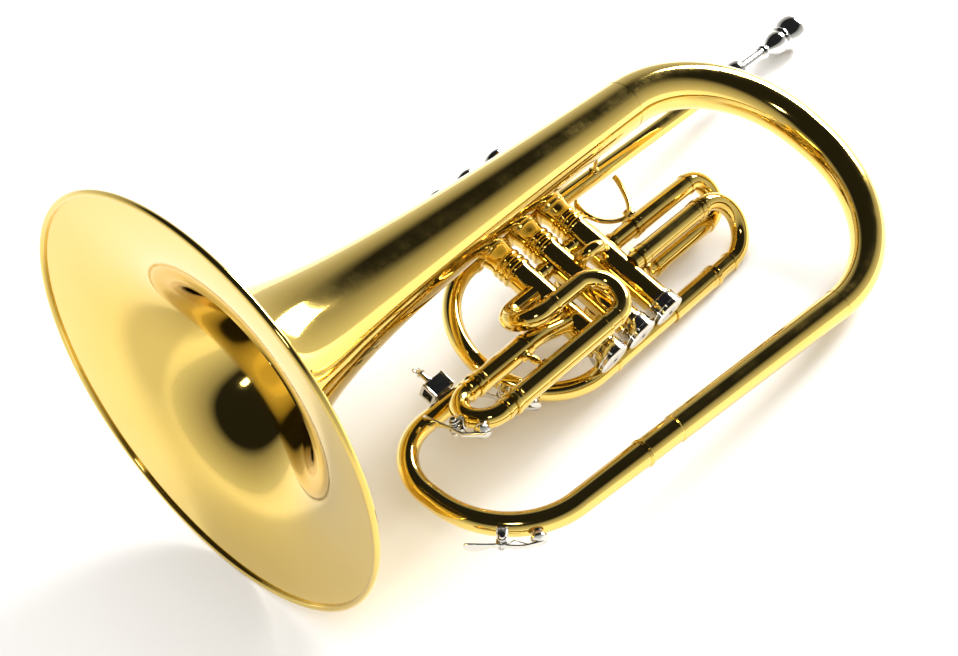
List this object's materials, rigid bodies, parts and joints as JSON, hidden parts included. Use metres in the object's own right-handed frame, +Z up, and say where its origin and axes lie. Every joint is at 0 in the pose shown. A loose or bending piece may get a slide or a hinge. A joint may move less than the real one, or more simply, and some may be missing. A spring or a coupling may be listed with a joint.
{
  "type": "marching mellophone",
  "caption": "Bell-front brass horn with piston valves, coiled tubing, pull-out tuning slides, sprung water keys and a removable cup mouthpiece, lying on its side.",
  "frame": {"origin": "centre of the bounding box on the floor plane, under the horn as it lies on its right side", "axes": "+X along the horn from the bell mouth towards the player, level with the floor, +Y towards the finger-button side, +Z up from the floor"},
  "size_m": [0.5948, 0.3082, 0.2633],
  "materials": {
    "lacquered_brass": "clear gold lacquer, polished",
    "nickel": "bright nickel plate",
    "steel": "drawn spring wire"
  },
  "bodies": {
    "horn": {"bell_flare": "lacquered_brass", "bell_stem": "lacquered_brass", "bell_rim": "lacquered_brass", "bow": "lacquered_brass", "return_branch": "lacquered_brass", "branch_sleeve": "lacquered_brass", "front_bow": "lacquered_brass", "mouthpiece_receiver": "nickel", "leadpipe": "lacquered_brass", "leadpipe_bow": "lacquered_brass", "main_slide_upper_sleeve": "lacquered_brass", "main_slide_lower_sleeve": "lacquered_brass", "first_slide_upper_leg": "lacquered_brass", "first_slide_lower_leg": "lacquered_brass", "second_slide_upper_sleeve": "lacquered_brass", "second_slide_lower_sleeve": "lacquered_brass", "ring_crook": "lacquered_brass", "inner_crook": "lacquered_brass", "third_slide_lower_sleeve": "lacquered_brass", "third_slide_upper_sleeve": "lacquered_brass", "third_valve_elbow": "lacquered_brass", "third_slide_brace": "lacquered_brass", "valve_casing_1": "lacquered_brass", "bottom_cap_1": "nickel", "top_cap_1": "lacquered_brass", "valve_spring_1": "steel", "valve_casing_2": "lacquered_brass", "bottom_cap_2": "nickel", "top_cap_2": "lacquered_brass", "valve_spring_2": "steel", "valve_casing_3": "lacquered_brass", "bottom_cap_3": "nickel", "top_cap_3": "lacquered_brass", "valve_spring_3": "steel", "upper_knuckle_1_2": "lacquered_brass", "upper_knuckle_2_3": "lacquered_brass", "crossover_crook": "lacquered_brass", "water_key_saddle_1": "nickel", "water_key_saddle_3": "nickel", "lyre_holder": "nickel", "bell_brace": "lacquered_brass", "bow_brace": "lacquered_brass"},
    "piston_1": {"piston_1": "nickel", "finger_button_1": "nickel"},
    "water_key_1": {"water_key_1": "nickel"},
    "piston_2": {"piston_2": "nickel", "finger_button_2": "nickel"},
    "water_key_2": {"water_key_2": "nickel"},
    "piston_3": {"piston_3": "nickel", "finger_button_3": "nickel"},
    "water_key_3": {"water_key_3": "nickel"},
    "main_tuning_slide": {"main_tuning_slide": "lacquered_brass"},
    "first_slide": {"first_slide": "lacquered_brass", "thumb_saddle": "lacquered_brass"},
    "second_slide": {"second_slide": "lacquered_brass"},
    "third_slide": {"third_slide": "lacquered_brass", "water_key_saddle_2": "nickel"},
    "mouthpiece": {"mouthpiece": "nickel"},
    "lyre_screw": {"lyre_screw": "nickel"}
  },
  "joints": [
    {"name": "valve_1_press", "type": "slide", "parent": "horn", "child": "piston_1", "axis": [0, -0.9517, -0.307], "range_m": [0, 0.0155], "stiffness_N_per_m": 180, "springref_m": -0.008, "deforming": ["valve_spring_1"]},
    {"name": "valve_2_press", "type": "slide", "parent": "horn", "child": "piston_2", "axis": [0, -0.9517, -0.307], "range_m": [0, 0.0155], "stiffness_N_per_m": 180, "springref_m": -0.008, "deforming": ["valve_spring_2"]},
    {"name": "valve_3_press", "type": "slide", "parent": "horn", "child": "piston_3", "axis": [0, -0.9517, -0.307], "range_m": [0, 0.0155], "stiffness_N_per_m": 180, "springref_m": -0.008, "deforming": ["valve_spring_3"]},
    {"name": "main_tuning_slide_pull", "type": "slide", "parent": "horn", "child": "main_tuning_slide", "axis": [0.993, 0.0364, -0.1127], "range_m": [0, 0.035]},
    {"name": "first_slide_pull", "type": "slide", "parent": "horn", "child": "first_slide", "axis": [0.993, 0.0364, -0.1127], "range_m": [0, 0.03]},
    {"name": "second_slide_pull", "type": "slide", "parent": "horn", "child": "second_slide", "axis": [-0.1184, 0.3049, -0.945], "range_m": [0, 0.005]},
    {"name": "third_slide_pull", "type": "slide", "parent": "horn", "child": "third_slide", "axis": [-0.993, -0.0364, 0.1127], "range_m": [0, 0.035]},
    {"name": "mouthpiece_pull", "type": "slide", "parent": "horn", "child": "mouthpiece", "axis": [0.9929, 0.0257, -0.1161], "range_m": [0, 0.03]},
    {"name": "water_key_1_press", "type": "hinge", "parent": "horn", "child": "water_key_1", "pos_m": [-0.20679, -0.12053, 0.05874], "axis": [-0.1149, 0.0656, -0.9912], "range_deg": [0, 12], "stiffness_Nm_per_rad": 0.03, "springref_deg": -14.32},
    {"name": "water_key_2_press", "type": "hinge", "parent": "third_slide", "child": "water_key_2", "pos_m": [-0.17505, -0.05635, 0.0759], "axis": [-0.1055, -0.1606, -0.9814], "range_deg": [0, 12], "stiffness_Nm_per_rad": 0.03, "springref_deg": -14.32},
    {"name": "water_key_3_press", "type": "hinge", "parent": "horn", "child": "water_key_3", "pos_m": [-0.12171, -0.03784, 0.03762], "axis": [-0.1184, 0.3049, -0.945], "range_deg": [0, 12], "stiffness_Nm_per_rad": 0.03, "springref_deg": -14.32},
    {"name": "lyre_screw_turn", "type": "hinge", "parent": "horn", "child": "lyre_screw", "pos_m": [-0.15445, -0.00998, 0.06553], "axis": [0, 0.9517, 0.307], "continuous": true}
  ]
}
